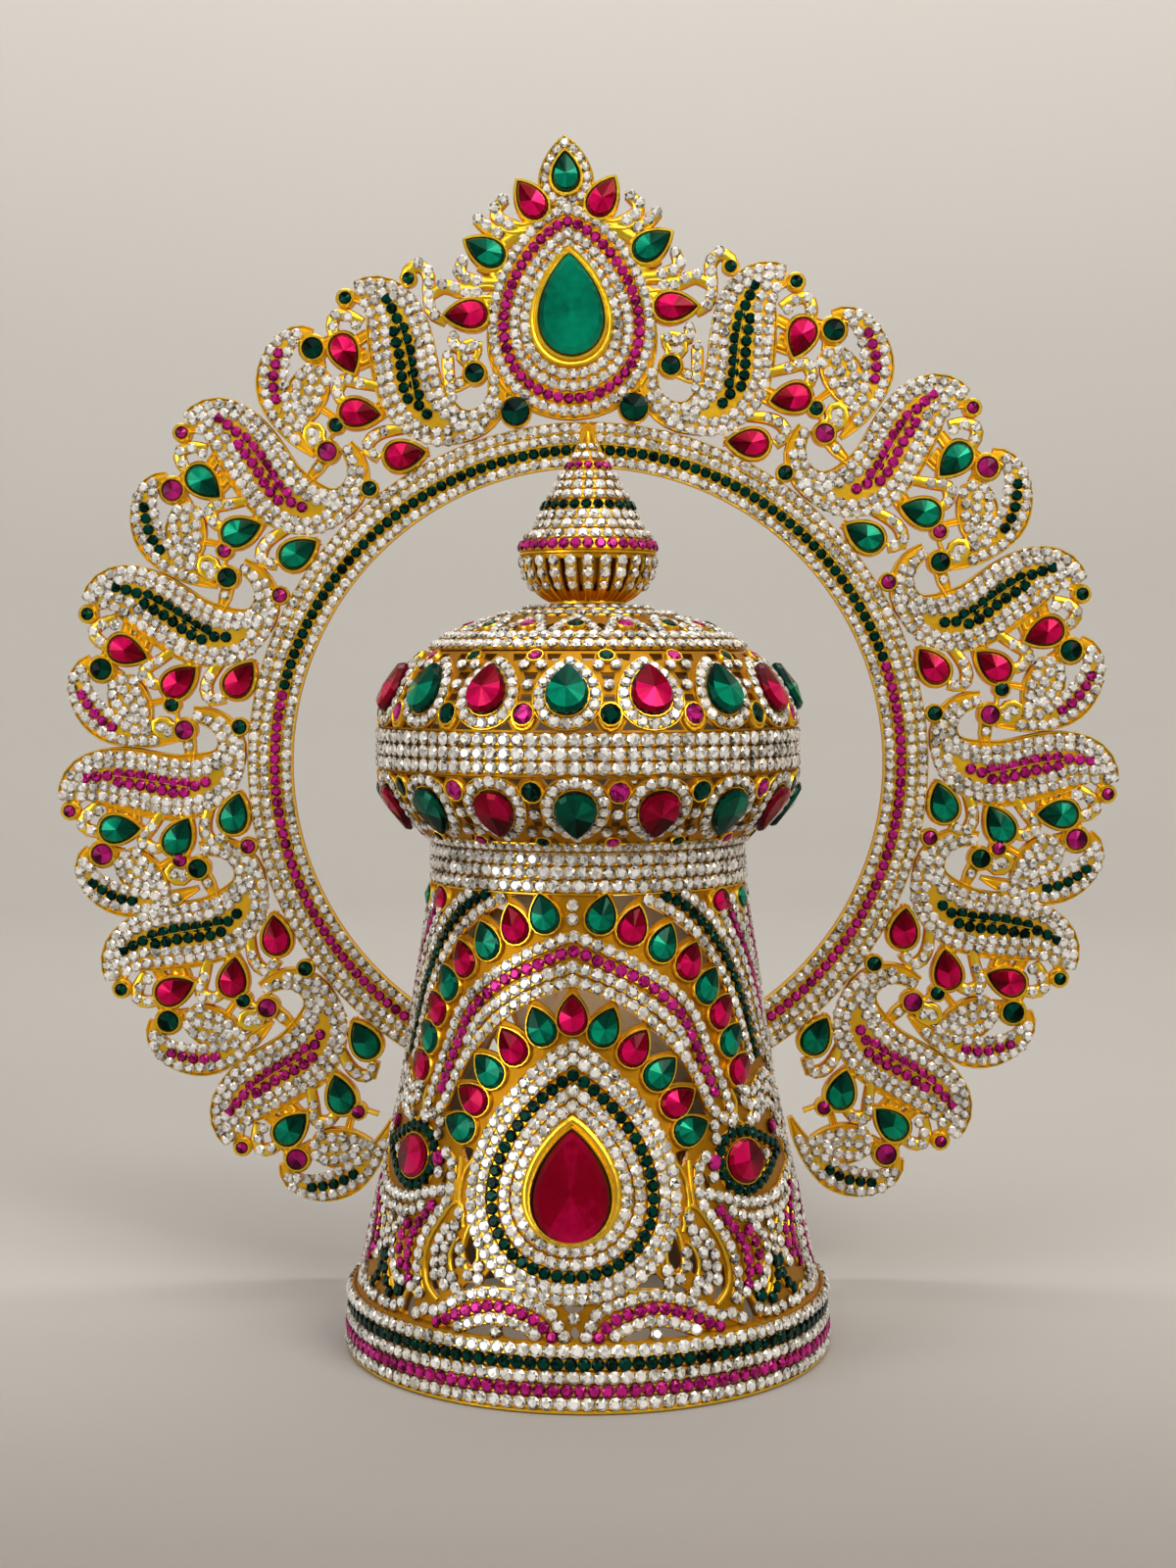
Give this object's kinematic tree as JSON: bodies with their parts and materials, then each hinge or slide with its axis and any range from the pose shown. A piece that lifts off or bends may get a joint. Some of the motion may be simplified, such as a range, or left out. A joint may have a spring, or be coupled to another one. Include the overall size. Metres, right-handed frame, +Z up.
{
  "type": "deity crown with halo",
  "caption": "Tall pierced deity crown with a domed top and finial, backed by a round halo of swan plaques set with stones.",
  "frame": {"origin": "on the crown's own axis, in the plane of the rim that it rests on", "axes": "+Z up along the crown's axis, the front faces -Y, +X to the right seen from the front"},
  "size_m": [0.3087, 0.1304, 0.3312],
  "materials": {
    "gold_cast": "cast brass with a bright yellow gold plating",
    "clear_stone": "foil-backed clear cut glass",
    "ruby_stone": "foil-backed magenta cut glass",
    "emerald_stone": "foil-backed green cut glass",
    "dark_green_stone": "foil-backed dark green cut glass"
  },
  "bodies": {
    "root": {"bracket_left": "gold_cast", "bracket_right": "gold_cast", "crest_round_stone_left": "dark_green_stone", "crest_round_stone_right": "dark_green_stone", "crest_stone": "emerald_stone", "crest_stone_lower_left": "ruby_stone", "crest_stone_lower_right": "ruby_stone", "crest_stone_middle_left": "emerald_stone", "crest_stone_middle_right": "emerald_stone", "crest_stone_upper_left": "ruby_stone", "crest_stone_upper_right": "ruby_stone", "crest_top_stone": "emerald_stone", "crown_body": "gold_cast", "dome_band": "gold_cast", "dome_cap": "gold_cast", "dome_lower": "gold_cast", "dome_stone_1": "emerald_stone", "dome_stone_10": "ruby_stone", "dome_stone_11": "emerald_stone", "dome_stone_12": "ruby_stone", "dome_stone_13": "emerald_stone", "dome_stone_14": "ruby_stone", "dome_stone_15": "emerald_stone", "dome_stone_16": "ruby_stone", "dome_stone_2": "ruby_stone", "dome_stone_3": "emerald_stone", "dome_stone_4": "ruby_stone", "dome_stone_5": "emerald_stone", "dome_stone_6": "ruby_stone", "dome_stone_7": "emerald_stone", "dome_stone_8": "ruby_stone", "dome_stone_9": "emerald_stone", "dome_upper": "gold_cast", "finial_cone": "gold_cast", "finial_cup": "gold_cast", "halo_crest": "gold_cast", "halo_plaque_left_1": "gold_cast", "halo_plaque_left_2": "gold_cast", "halo_plaque_left_3": "gold_cast", "halo_plaque_left_4": "gold_cast", "halo_plaque_left_5": "gold_cast", "halo_plaque_left_6": "gold_cast", "halo_plaque_right_1": "gold_cast", "halo_plaque_right_2": "gold_cast", "halo_plaque_right_3": "gold_cast", "halo_plaque_right_4": "gold_cast", "halo_plaque_right_5": "gold_cast", "halo_plaque_right_6": "gold_cast", "halo_ring_left": "gold_cast", "halo_ring_right": "gold_cast", "medallion_stone_back": "ruby_stone", "medallion_stone_front": "ruby_stone", "roundel_stone_back_left": "ruby_stone", "roundel_stone_back_right": "ruby_stone", "roundel_stone_front_left": "ruby_stone", "roundel_stone_front_right": "ruby_stone"}
  },
  "joints": []
}
